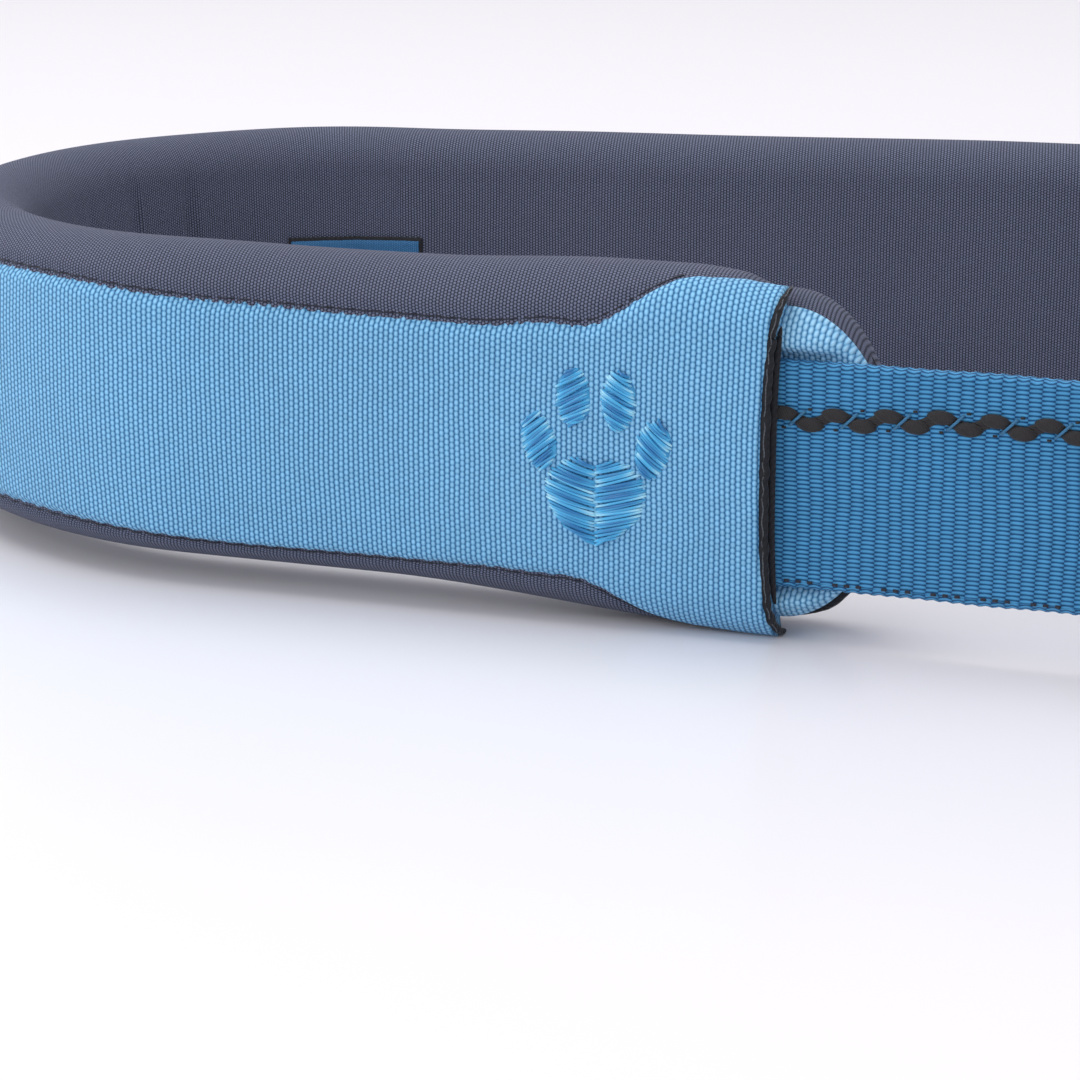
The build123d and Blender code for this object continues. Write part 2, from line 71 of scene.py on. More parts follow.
# The pad: its section, its two tunnel mouths and the rounded tongue past each of them
PAD_HEIGHT = 39.0
MIDDLE = PAD_HEIGHT / 2
FACE_DEPTH = 2.7
BACK_DEPTH = -9.3
TUNNEL_FLOOR = -1.9
SIDE_SHARE = 0.2944
FRONT_MOUTH = 70.0
BACK_MOUTH = 101.5
MOUTH_HOLLOW = 1.4
TONGUE_LENGTH = 11.0
TONGUE_HALF = 18.0
TONGUE_DROP = 1.0
TONGUE_DEPTH = -5.2
TONGUE_ROLL = 4.2
TUNNEL_HALF = 13.0
FACE_CROWN = 0.55
BACK_CROWN = 0.75

# The face panel's outline, its stitches and half its thickness
PANEL_HALF = 13.9
PANEL_AT_MOUTH = 22.6
FLARE_START = 23.5
FLARE_END = 8.5
SEAM_STITCH = 2.4
SEAM_STOP = 11.0
GROOVE_WIDTH = 0.9
GROOVE_DEPTH = 0.6
CLOTH_HALF = 0.4

# Emblem: half sizes of the paw's main pad and toes, and each toe's place and lean in degrees
EMBLEM_ALONG = FRONT_MOUTH - 19.4
EMBLEM_SCALE = 1.15
STITCH_PITCH = 0.29
STITCH_RADIUS = 0.13
STITCH_SCATTER = 0.12
PAW_PAD = (5.0, 4.0)
PAW_TOE = (1.8, 2.7)
PAW_TOES = ((-5.6, 1.2, 20), (-2.2, 5.6, 8), (2.2, 5.6, -8), (5.6, 1.2, -20))

# Label on the lining
LABEL_ENDS = (51.0, 74.0)
LABEL_HEIGHT = 8.5
LABEL_UP = 0.6

# The strap's weave, its folds round the buckle's bars and the hardware on it
WEB_COLUMN = 1.42
WEB_STEP = 0.35
WEB_RELIEF = 0.09
RETURN_PHASE = 620.0
BAR_PLACE = 27.5
FOLD_REACH = 11.0
FOLD_RADIUS = 3.5
HEM_START = 115.0
RETURN_END = 132.5
INNER_DEPTH = -STRAP_THICK - 0.02
SLIDER_ALONG = 116.0
SLIDER_BAR_DEPTH = -4.35
SLIDER_LOOP_RADIUS = 2.25
SLIDER_TAIL = 127.5
RING_ALONG = 121.0
RING_BAR_DEPTH = 3.1
KEEPER_HALF = 11.0
KEEPER_WIDTH = 24.0
KEEPER_THICK = 1.4
KEEPER_DEPTH = 1.62
KEEPER_HUMP = 2.95
TACK_PLACE = 8.0
TACK_HALF = (0.9, 10.0)
TACK_DEPTH = 2.42
HEM_MIDDLE = 123.0
HEM_HALF = (6.0, 9.0)
HEM_DEPTH = -2.85
SEWN_RADIUS = 0.16
SEWN_LENGTH = 1.9
SEWN_GAP = 0.7

# Tracer: two staggered rows of ovals, a pitch apart along the strap
TRACER_HEIGHT = 25.8
TRACER_PITCH = 2.8
TRACER_ROW = 0.56
TRACER_OVAL = (1.6, 0.74)
TRACER_YARN_REACH = 0.85
TRACER_STARTS = (58.0, 90.0)

# Dark thread ends along the strap's lower edge
KNOT_GROUP = 5.3
KNOT_STEPS = (0, 1.27, 2.54)
KNOT_UP = -11.55
KNOT_STARTS = (66.0, 96.0)

# Camera, in metres and degrees
CAMERA_PLACE = (0.06315, -0.37019, 0.1011)
CAMERA_DOWN = 16.27
CAMERA_TURN = 14
CAMERA_LENS = 100

# The narrow end's tip and the wide end come from the frame
strap_low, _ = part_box("strap")
socket_low, socket_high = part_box("buckle_socket")
NOSE_X = strap_low.x / MM + NOSE_RADIUS + STRAP_THICK / 2
END_X = (socket_low.x + socket_high.x) / 2 / MM
STRAP_MIDDLE = MIDDLE - STRAP_DROP

SINE, COSINE = math.sin(SIDE_ANGLE), math.cos(SIDE_ANGLE)
ARC_HALF = NOSE_RADIUS * (math.pi / 2 - SIDE_ANGLE)
CORNER_TURN = math.pi / 2 + SIDE_ANGLE
CORNER_X = END_X - CORNER_RADIUS
CORNER_Y = (NOSE_RADIUS - CORNER_RADIUS + SINE * (CORNER_X - NOSE_X)) / COSINE
SIDE_LENGTH = (CORNER_X - NOSE_X + SINE * (NOSE_RADIUS - CORNER_RADIUS)) / COSINE
CORNER_START = ARC_HALF + SIDE_LENGTH
CORNER_END = CORNER_START + CORNER_RADIUS * CORNER_TURN
FOLD_Q = CORNER_END + CORNER_Y - BAR_PLACE - FOLD_REACH
FOLD_LEAN = math.atan2(STRAP_THICK / 2, FOLD_REACH)
FOLD_LEAN += math.acos(FOLD_RADIUS / math.hypot(STRAP_THICK / 2, FOLD_REACH))
TRACER_END = FOLD_Q + FOLD_REACH + 1.5

PAD_HALF_DEPTH = (FACE_DEPTH - BACK_DEPTH) / 2
PAD_CENTRE = (FACE_DEPTH + BACK_DEPTH) / 2
THIN_HALF_DEPTH = (TUNNEL_FLOOR - BACK_DEPTH) / 2
THIN_CENTRE = (TUNNEL_FLOOR + BACK_DEPTH) / 2
FLAT_HALF = MIDDLE - PAD_HALF_DEPTH
SECTION_HALF = 2 * FLAT_HALF + math.pi * PAD_HALF_DEPTH


def loop_line(q):
    """Points of the strap's middle line and its outward normals, seen from above."""
    q = np.atleast_1d(np.asarray(q, float))
    side, u = np.where(q < 0, -1.0, 1.0), np.abs(q)
    around = np.minimum(u, ARC_HALF) / NOSE_RADIUS
    along = np.clip(u - ARC_HALF, 0, SIDE_LENGTH)
    bend = np.clip(u - CORNER_START, 0, CORNER_END - CORNER_START) / CORNER_RADIUS
    flat = np.maximum(u - CORNER_END, 0)
    nx, ny = -np.cos(around), np.sin(around)
    x = NOSE_X + NOSE_RADIUS * nx + along * COSINE
    y = NOSE_RADIUS * ny + along * SINE
    turning = u > CORNER_START
    angle = CORNER_TURN - bend
    nx = np.where(turning, np.cos(angle), nx)
    ny = np.where(turning, np.sin(angle), ny)
    x = np.where(turning, CORNER_X + CORNER_RADIUS * nx, x)
    y = np.where(turning, CORNER_Y + CORNER_RADIUS * ny - flat, y)
    return np.stack([x, AXIS_Y + side * y], -1), np.stack([nx, side * ny], -1)


def place(q, depth, height):
    """Points in the row frame, in millimetres."""
    q, depth, height = np.broadcast_arrays(*(np.asarray(a, float) for a in (q, depth, height)))
    line, normal = loop_line(q.ravel())
    flat = line + normal * depth.ravel()[:, None]
    return np.column_stack([flat, height.ravel()]).reshape(q.shape + (3,))


def side_q(side, along):
    """The q of a place on a long side, from its distance past the narrow end's arc."""
    return side * (ARC_HALF + along)


def smooth(low, high, value):
    """0 below low, 1 above high, and an even ramp between."""
    t = np.clip((np.asarray(value, float) - low) / (high - low), 0, 1)
    return t * t * (3 - 2 * t)


def ripple(value, seed, wave):
    """Smooth uneven wave between about -1 and 1, the same each run."""
    rng = np.random.default_rng(seed)
    total = np.zeros_like(np.asarray(value, float))
    for _ in range(5):
        length = wave * rng.uniform(0.6, 1.7)
        total += np.sin(2 * math.pi * (value / length + rng.uniform()))
    return total / 3.2


def round_grid(points, uvs):
    """Points, faces and corner UVs of a grid whose last column joins its first."""
    rows, cols = points.shape[:2]
    index = np.arange(rows * cols).reshape(rows, cols)
    index = np.concatenate([index, index[:, :1]], 1)
    quads = np.stack([index[:-1, :-1], index[1:, :-1], index[1:, 1:], index[:-1, 1:]], -1)
    corners = np.stack([uvs[:-1, :-1], uvs[1:, :-1], uvs[1:, 1:], uvs[:-1, 1:]], -2)
    return points.reshape(-1, 3), quads.reshape(-1, 4).tolist(), corners.reshape(-1, 2)


def tube_shape(points, uvs):
    """Closed form: each row of points is one cross-section, and both ends are capped."""
    rows, cols = points.shape[:2]
    flat, faces, corners = round_grid(points, uvs)
    flat = np.concatenate([flat, [points[0].mean(0), points[-1].mean(0)]])
    ring, after = np.arange(cols), (np.arange(cols) + 1) % cols
    last = (rows - 1) * cols
    caps, cap_uvs = [], []
    for a, b in zip(ring, after):
        caps.append([rows * cols, int(a), int(b)])
        cap_uvs.append([uvs[0, : cols].mean(0), uvs[0, a], uvs[0, b]])
    for a, b in zip(ring, after):
        caps.append([rows * cols + 1, int(last + b), int(last + a)])
        cap_uvs.append([uvs[-1, : cols].mean(0), uvs[-1, b], uvs[-1, a]])
    return flat, faces + caps, np.concatenate([corners, np.array(cap_uvs).reshape(-1, 2)])


def shell_shape(outer, inner, uvs):
    """Closed shell of cloth between two grids of points."""
    front = np.concatenate([outer, inner[:, ::-1]], 1)
    both = np.concatenate([uvs, uvs[:, ::-1], uvs[:, :1]], 1)
    return tube_shape(front, both)


def rope_shape(points, radius, sides=8, squash=1.0):
    """Round or flattened tube along a list of points; radius may vary along it."""
    points = np.asarray(points, float)
    radius = np.broadcast_to(radius, (len(points),))
    tangent = np.gradient(points, axis=0)
    tangent /= np.linalg.norm(tangent, axis=1)[:, None]
    across = np.cross(tangent, [0.0, 0.0, 1.0])
    weak = np.linalg.norm(across, axis=1) < 0.2
    across[weak] = np.cross(tangent[weak], [1.0, 0.0, 0.0])
    across /= np.linalg.norm(across, axis=1)[:, None]
    upright = np.cross(across, tangent)
    angle = 2 * math.pi * np.arange(sides) / sides
    ring = (
        across[:, None] * (np.cos(angle) * squash)[None, :, None]
        + upright[:, None] * np.sin(angle)[None, :, None]
    )
    length = np.concatenate([[0], np.cumsum(np.linalg.norm(np.diff(points, axis=0), axis=1))])
    girth = 2 * math.pi * radius.max() * np.arange(sides + 1) / sides
    uvs = np.stack(np.meshgrid(length, girth, indexing="ij"), -1)
    return tube_shape(points[:, None] + ring * radius[:, None, None], uvs)


def build(name, material, *shapes):
    """One mesh object, in metres, from shapes in millimetres."""
    points, faces, uvs, first = [], [], [], 0
    for shape_points, shape_faces, shape_uvs in shapes:
        points.append(shape_points)
        faces += [[index + first for index in face] for face in shape_faces]
        uvs.append(shape_uvs)
        first += len(shape_points)
    mesh = bpy.data.meshes.new(name)
    mesh.from_pydata((np.concatenate(points) * MM).tolist(), [], faces)
    layer = mesh.uv_layers.new(name="UVMap")
    layer.data.foreach_set("uv", np.concatenate(uvs).astype(np.float32).ravel())
    mesh.materials.append(material)
    mesh.polygons.foreach_set("use_smooth", [True] * len(mesh.polygons))
    mesh.update()
    mesh_out = bmesh.new()
    mesh_out.from_mesh(mesh)
    bmesh.ops.recalc_face_normals(mesh_out, faces=mesh_out.faces)
    mesh_out.to_mesh(mesh)
    mesh_out.free()
    obj = bpy.data.objects.new(name, mesh)
    bpy.context.scene.collection.objects.link(obj)
    return obj


# ---------------------------------------------------------------- materials


class Nodes:
    """Short way to write a material's node graph."""

    def __init__(self, name):
        self.material = bpy.data.materials.new(name)
        self.material.use_nodes = True
        self.tree = self.material.node_tree
        self.shader = self.tree.nodes["Principled BSDF"]

    def link(self, value, socket):
        if isinstance(value, bpy.types.NodeSocket):
            self.tree.links.new(value, socket)
        else:
            socket.default_value = value

    def math(self, operation, a, b=0.0, clamp=False):
        node = self.tree.nodes.new("ShaderNodeMath")
        node.operation, node.use_clamp = operation, clamp
        self.link(a, node.inputs[0])
        self.link(b, node.inputs[1])
        return node.outputs[0]

    def uv(self):
        node = self.tree.nodes.new("ShaderNodeUVMap")
        node.uv_map = "UVMap"
        split = self.tree.nodes.new("ShaderNodeSeparateXYZ")
        self.tree.links.new(node.outputs[0], split.inputs[0])
        return split.outputs[0], split.outputs[1]

    def object_point(self):
        node = self.tree.nodes.new("ShaderNodeTexCoord")
        return node.outputs["Object"]

    def vector(self, x, y, z=0.0):
        node = self.tree.nodes.new("ShaderNodeCombineXYZ")
        for value, socket in zip((x, y, z), node.inputs):
            self.link(value, socket)
        return node.outputs[0]

    def noise(self, vector, scale, detail=2.0, roughness=0.5):
        node = self.tree.nodes.new("ShaderNodeTexNoise")
        self.link(vector, node.inputs["Vector"])
        node.inputs["Scale"].default_value = scale
        node.inputs["Detail"].default_value = detail
        node.inputs["Roughness"].default_value = roughness
        return node.outputs[0]

    def random(self, vector):
        node = self.tree.nodes.new("ShaderNodeTexWhiteNoise")
        node.noise_dimensions = "2D"
        self.link(vector, node.inputs["Vector"])
        return node.outputs[0]

    def ramp(self, value, stops):
        node = self.tree.nodes.new("ShaderNodeValToRGB")
        self.link(value, node.inputs[0])
        elements = node.color_ramp.elements
        for element, (position, colour) in zip(elements, (stops[0], stops[-1])):
            element.position, element.color = position, (*colour, 1)
        for position, colour in stops[1:-1]:
            elements.new(position).color = (*colour, 1)
        return node.outputs[0]

    def scaled(self, colour, factor):
        node = self.tree.nodes.new("ShaderNodeVectorMath")
        node.operation = "SCALE"
        self.link(colour, node.inputs[0])
        self.link(factor, node.inputs["Scale"])
        return node.outputs[0]

    def bump(self, height, distance_mm, strength=1.0):
        node = self.tree.nodes.new("ShaderNodeBump")
        node.inputs["Strength"].default_value = strength
        node.inputs["Distance"].default_value = distance_mm * MM
        self.link(height, node.inputs["Height"])
        return node.outputs[0]

    def finish(self, colour, roughness, normal=None, metallic=0.0, sheen=0.0, specular=0.5):
        self.link(colour, self.shader.inputs["Base Color"])
        self.link(roughness, self.shader.inputs["Roughness"])
        self.shader.inputs["Metallic"].default_value = metallic
        self.shader.inputs["Sheen Weight"].default_value = sheen
        self.shader.inputs["Sheen Roughness"].default_value = 0.4
        self.shader.inputs["Specular IOR Level"].default_value = specular
        if normal is not None:
            self.tree.links.new(normal, self.shader.inputs["Normal"])
        return self.material


def srgb(red, green, blue):
    """Linear colour from 0-255 screen values."""
    out = []
    for value in (red, green, blue):
        v = value / 255
        out.append(v / 12.92 if v <= 0.04045 else ((v + 0.055) / 1.055) ** 2.4)
    return tuple(out)


def woven(name, cell, dark, middle, light, relief, column_share, roughness, sheen, worn):
    """Cloth of short floats in columns, each column half a float out of step with the next.
    cell is a float's width and length in mm, and worn is how much the yarns differ in shade."""
    g = Nodes(name)
    u, v = g.uv()
    wander = g.noise(g.vector(u, v), 0.09, 3.0)
    sway = g.math("MULTIPLY", g.math("SUBTRACT", wander, 0.5), cell[0] * 0.9)
    column = g.math("DIVIDE", g.math("ADD", u, sway), cell[0])
    number = g.math("FLOOR", column)
    step = g.math("MULTIPLY", g.math("MODULO", g.math("ABSOLUTE", number), 2.0), 0.5)
    row = g.math("ADD", g.math("DIVIDE", v, cell[1]), step)
    across = g.math("SUBTRACT", g.math("FRACT", column), 0.5)
    down = g.math("SUBTRACT", g.math("FRACT", row), 0.5)
    across2 = g.math("MULTIPLY", g.math("MULTIPLY", across, across), 4 * column_share)
    down2 = g.math("MULTIPLY", g.math("MULTIPLY", down, down), 4 * (1 - column_share))
    float_height = g.math("SUBTRACT", 1.0, g.math("ADD", across2, down2), clamp=True)
    yarn = g.random(g.vector(number, g.math("FLOOR", row)))
    fibre = g.noise(g.vector(u, v), 5.0, 2.0)
    patch = g.noise(g.vector(u, v), 0.035, 3.0)
    # Colour follows the floats' height, dark in the hollows between floats and lighter on their lit
    # tops: painted shade of the weave.
    colour = g.ramp(float_height, [(0.12, dark), (0.5, middle), (0.92, light)])
    shade = g.math("ADD", 1.0 - worn, g.math("MULTIPLY", yarn, worn))
    shade = g.math("ADD", shade, g.math("MULTIPLY", g.math("SUBTRACT", fibre, 0.5), 0.22))
    shade = g.math("ADD", shade, g.math("MULTIPLY", g.math("SUBTRACT", patch, 0.5), 0.18))
    normal = g.bump(g.math("ADD", float_height, g.math("MULTIPLY", fibre, 0.15)), relief)
    return g.finish(g.scaled(colour, shade), roughness, normal, sheen=sheen, specular=0.25)


def thread(name, colour, roughness, twist):
    """Twisted yarn: fine slanted lines along a tube, twist mm apart."""
    g = Nodes(name)
    u, v = g.uv()
    slant = g.math("ADD", g.math("DIVIDE", u, twist), g.math("DIVIDE", v, twist * 1.3))
    wave = g.math("SINE", g.math("MULTIPLY", slant, 2 * math.pi))
    lift = g.math("ADD", 0.5, g.math("MULTIPLY", wave, 0.5))
    fuzz = g.noise(g.vector(u, v), 1.5, 3.0)
    # Darker in the twist's grooves and lighter on its ridges: painted shade of the twist.
    shade = g.math("ADD", 0.72, g.math("MULTIPLY", lift, 0.3))
    shade = g.math("ADD", shade, g.math("MULTIPLY", g.math("SUBTRACT", fuzz, 0.5), 0.4))
    normal = g.bump(g.math("ADD", lift, fuzz), 0.05)
    tint = g.ramp(fuzz, [(0.25, tuple(c * 0.8 for c in colour)), (0.8, colour)])
    return g.finish(g.scaled(tint, shade), roughness, normal, sheen=0.1, specular=0.4)


def satin_thread():
    """Glossy embroidery thread: deep blue in mid stitch, pale where it dives, each one its own."""
    g = Nodes("emblem_satin_thread")
    along, number = g.uv()
    each = g.random(g.vector(g.math("FLOOR", number), 3.0))
    middle = g.math("MULTIPLY", g.math("MULTIPLY", along, g.math("SUBTRACT", 1.0, along)), 4.0)
    depth = g.math("ADD", g.math("MULTIPLY", middle, 0.5), g.math("MULTIPLY", each, 0.5))
    strands = g.vector(g.math("MULTIPLY", along, 2.0), g.math("MULTIPLY", number, 24.0))
    fibres = g.noise(strands, 1.0, 2.0)
    # Pale at both ends of each stitch, where the thread bends down into the cloth: a painted
    # highlight. The deep blue mid stitch and the spread between stitches are the thread's own tone.
    pale, blue, deep = srgb(170, 228, 246), srgb(66, 172, 222), srgb(14, 112, 172)
    colour = g.ramp(depth, [(0.2, pale), (0.52, blue), (0.9, deep)])
    shade = g.math("ADD", 0.78, g.math("MULTIPLY", fibres, 0.5))
    normal = g.bump(fibres, 0.05)
    return g.finish(g.scaled(colour, shade), 0.34, normal, sheen=0.2, specular=0.6)


def brushed_steel():
    """Satin steel with fine lines along its length, slightly warm."""
    g = Nodes("brushed_steel_satin")
    point = g.object_point()
    split = g.tree.nodes.new("ShaderNodeSeparateXYZ")
    g.tree.links.new(point, split.inputs[0])
    x, y, z = split.outputs
    scales = ((x, 900.0), (y, 900.0), (z, 9000.0))
    stretched = g.vector(*(g.math("MULTIPLY", value, scale) for value, scale in scales))
    lines = g.noise(stretched, 1.0, 4.0, 0.6)
    clouds = g.noise(point, 120.0, 3.0)
    colour = g.ramp(clouds, [(0.2, srgb(176, 166, 166)), (0.8, srgb(205, 194, 192))])
    rough = g.math("ADD", 0.26, g.math("MULTIPLY", lines, 0.16))
    normal = g.bump(lines, 0.02, 0.6)
    return g.finish(colour, rough, normal, metallic=1.0)


def moulded_plastic():
    """Black moulded acetal with a very fine spark-eroded grain."""
    g = Nodes("moulded_black_plastic")
    point = g.object_point()
    grain = g.noise(point, 2600.0, 2.0)
    rub = g.noise(point, 90.0, 4.0)
    colour = g.ramp(rub, [(0.3, srgb(30, 31, 35)), (0.8, srgb(44, 46, 52))])
    rough = g.math("ADD", 0.38, g.math("MULTIPLY", rub, 0.22))
    return g.finish(colour, rough, g.bump(grain, 0.03, 0.7), specular=0.45)


FACE_CLOTH = woven(
    "face_cloth_ribbed", cell=(0.59, 0.64),
    dark=srgb(22, 80, 132), middle=srgb(76, 144, 194), light=srgb(142, 204, 242),
    relief=0.22, column_share=0.6, roughness=0.72, sheen=0.12, worn=0.10,
)
# Lighter copy of the face cloth for the pad ends: painted light where the tongues bulge up over the
# strap.
TONGUE_CLOTH = woven(
    "face_cloth_painted_lit", cell=(0.59, 0.64),
    dark=srgb(34, 96, 148), middle=srgb(96, 162, 208), light=srgb(162, 216, 248),
    relief=0.22, column_share=0.6, roughness=0.72, sheen=0.12, worn=0.10,
)
WEBBING = woven(
    "webbing_blue", cell=(WEB_COLUMN, 0.48),
    dark=srgb(4, 48, 90), middle=srgb(24, 96, 148), light=srgb(76, 154, 204),
    relief=0.20, column_share=0.3, roughness=0.6, sheen=0.05, worn=0.10,
)
LINER = woven(
    "liner_charcoal_pique", cell=(0.40, 0.37),
    dark=srgb(18, 20, 32), middle=srgb(48, 53, 70), light=srgb(112, 119, 142),
    relief=0.12, column_share=0.5, roughness=0.85, sheen=0.05, worn=0.10,
)
LABEL = woven(
    "label_tape_blue", cell=(0.3, 0.3),
    dark=srgb(24, 62, 98), middle=srgb(44, 96, 142), light=srgb(70, 126, 172),
    relief=0.05, column_share=0.5, roughness=0.7, sheen=0.05, worn=0.10,
)
BLACK_EDGE = thread("black_bound_edge", srgb(30, 32, 38), roughness=0.8, twist=0.9)
DARK_THREAD = thread("dark_sewing_thread", srgb(38, 42, 58), roughness=0.6, twist=0.5)
EDGE_THREAD = thread("grey_edge_thread", srgb(92, 98, 104), roughness=0.7, twist=0.4)
TRACER = thread("tracer_black_braid", srgb(40, 38, 40), roughness=0.55, twist=0.28)
TRACER_YARN = thread("tracer_blue_yarn", srgb(60, 128, 172), roughness=0.5, twist=0.3)
EMBLEM = satin_thread()
STEEL = brushed_steel()
PLASTIC = moulded_plastic()

# ---------------------------------------------------------------- the pad


def section(share, half_depth, half_height, centre, grow=0.0):
    """Depth and height round a stadium section; share is 0 at mid face and 1 or -1 at mid back.
    grow makes its rolled edges that much taller."""
    f = np.abs(share)
    turn = np.clip((f - SIDE_SHARE) / (1 - 2 * SIDE_SHARE), 0, 1) * math.pi
    flat = np.clip(np.minimum(f, 1 - f) / SIDE_SHARE, 0, 1) * (half_height - half_depth)
    height = flat + (half_depth + grow) * np.sin(turn)
    return centre + half_depth * np.cos(turn), np.where(share < 0, -height, height)


def panel_half(q):
    """Half the face panel's width round the section, wider towards each mouth."""
    mouth = np.where(np.asarray(q) < 0, FRONT_MOUTH, BACK_MOUTH)
    before = mouth - (np.abs(q) - ARC_HALF)
    flare = (PANEL_AT_MOUTH - 2.1 - PANEL_HALF) * (1 - smooth(FLARE_END, FLARE_START, before))
    corner = 2.4 * (1 - smooth(-3, 10, before))
    swell = 0.2 * smooth(30, 44, before) + 0.3 * smooth(45, 62, before)
    swell = swell + 0.5 * smooth(18, 25, before) * (1 - smooth(25, 34, before))
    return PANEL_HALF + flare + corner + swell


def roll_growth(q, share):
    """How much taller the rolled edges are: full before the front mouth, lifted under the nose."""
    along = -np.asarray(q) - ARC_HALF
    upper = 0.95 * smooth(30, 52, along) * (1 - smooth(59, 69, along))
    upper = upper - 0.9 * smooth(64, 71, along) - 0.35 * smooth(-20, 60, q)
    lower = -2.5 * (1 - smooth(24, 66, along)) * (1 - smooth(-40, 60, q))
    return np.where(share < 0, lower, upper)


def panel_shift(q):
    """How far round the section the face panel sits above the pad's middle."""
    q = np.asarray(q, float)
    before = FRONT_MOUTH + ARC_HALF + q
    around_nose = 0.85 * smooth(-76, -50, q) * (1 - smooth(0, 60, q))
    dip = -0.3 * smooth(-118, -104, q) * (1 - smooth(-80, -60, q))
    flare = -0.45 * smooth(10, 15, before) * (1 - smooth(17, 25, before))
    return around_nose + dip + (flare + 0.4 * (1 - smooth(0, 9, before)))


def pad_surface(q, share, lift=0.0):
    """Depth and height of the pad's surface, crowned, rolled and creased, plus a lift."""
    grow = roll_growth(q, share)
    depth, height = section(share, PAD_HALF_DEPTH + lift, MIDDLE + lift, PAD_CENTRE, grow)
    f = np.abs(share)
    crown = np.clip(1 - (height / FLAT_HALF) ** 2, 0, 1)
    depth = depth + np.where(f < 0.5, FACE_CROWN, -BACK_CROWN) * crown
    off_edge = np.abs(share * SECTION_HALF - panel_shift(q)) - panel_half(q)
    pucker = 1 + 0.35 * np.cos(2 * math.pi * q / SEAM_STITCH) * np.exp(-((off_edge / 2.5) ** 2))
    sewn = 1 - smooth(17, 20, panel_half(q))
    groove = np.exp(-((off_edge / GROOVE_WIDTH) ** 2)) * pucker * sewn
    depth = depth - np.where(f < 0.62, GROOVE_DEPTH, 0.0) * groove
    bend = 1 - smooth(50, 95, np.abs(q))
    inside = smooth(0.62, 0.80, f)
    creases = np.clip(ripple(q, 11, 8.0), 0, 1) ** 2 * 0.8 + 0.16 * ripple(q, 5, 3.1)
    depth = depth + inside * bend * creases * (1 - 0.4 * smooth(0, MIDDLE, np.abs(height)))
    depth = depth + 0.10 * ripple(q, 21, 34.0) * (1 - inside)
    height = height + 0.10 * ripple(q, 8, 46.0) * smooth(0.3, 0.5, f) * (share > 0)
    return depth, height


def pad_lining():
    """Charcoal lining: rolled edges, creased inside wall and a thin rounded end past each mouth."""
    tip = (TONGUE_LENGTH - 0.05) * np.sin(np.linspace(0, math.pi / 2, 16)[1:])
    ends = [side_q(-1, FRONT_MOUTH), side_q(1, BACK_MOUTH)]
    q = np.concatenate([ends[0] - tip[::-1], np.arange(ends[0], ends[1], 0.9), ends[1] + tip])
    half = np.linspace(0, 1, 67)
    share = np.concatenate([half, half[1:-1] - 1])
    Q, F = np.meshgrid(q, share, indexing="ij")
    past = np.abs(Q) - ARC_HALF - np.where(Q < 0, FRONT_MOUTH, BACK_MOUTH)
    depth, height = pad_surface(Q, F)
    thin = smooth(-5.0, -1.0, past)
    reach = np.sqrt(np.clip(1 - (np.clip(past, 0, None) / TONGUE_LENGTH) ** 2, 0.0004, 1))
    thin_half = TONGUE_HALF * reach
    thickness = np.minimum(THIN_HALF_DEPTH, thin_half * 0.8)
    thin_depth, thin_height = section(F, thickness, thin_half, THIN_CENTRE)
    depth = depth * (1 - thin) + thin_depth * thin
    height = height * (1 - thin) + thin_height * thin
    level = 1 - smooth(TUNNEL_HALF - 0.4, TUNNEL_HALF + 0.4, np.abs(height))
    recess = smooth(-18, -13, past) * level * (np.abs(F) < 0.5)
    depth = np.where(recess > 0, np.minimum(depth, depth + (TUNNEL_FLOOR - depth) * recess), depth)
    around = SECTION_HALF * np.concatenate([half, 1 + half[1:]])
    uvs = np.stack(np.meshgrid(q, around, indexing="ij"), -1)
    return tube_shape(place(Q, depth, MIDDLE + height), uvs)


def mouth_line(side, mouth, height):
    """The q of a mouth's hollow edge at a height from the middle."""
    return side_q(side, mouth - MOUTH_HOLLOW * np.clip(1 - (height / MIDDLE) ** 4, 0, 1))


def panel_grid(lift):
    """Grid over the face panel, from the front mouth's edge to the back mouth's."""
    P, V = np.meshgrid(np.linspace(0, 1, 560), np.linspace(-1, 1, 67), indexing="ij")
    guess = side_q(-1, FRONT_MOUTH) * (1 - P) + side_q(1, BACK_MOUTH) * P
    _, height = pad_surface(guess, (panel_shift(guess) + V * panel_half(guess)) / SECTION_HALF)
    Q = mouth_line(-1, FRONT_MOUTH, height) * (1 - P) + mouth_line(1, BACK_MOUTH, height) * P
    tuck = smooth(-0.2, 1.4, panel_half(Q) * (1 - np.abs(V)))
    arc = panel_shift(Q) + V * (panel_half(Q) + 0.05 * np.cos(2 * math.pi * Q / SEAM_STITCH))
    depth, height = pad_surface(Q, arc / SECTION_HALF, lift * tuck - 0.15 * (1 - tuck))
    return place(Q, depth, MIDDLE + height), np.stack([Q, arc], -1)


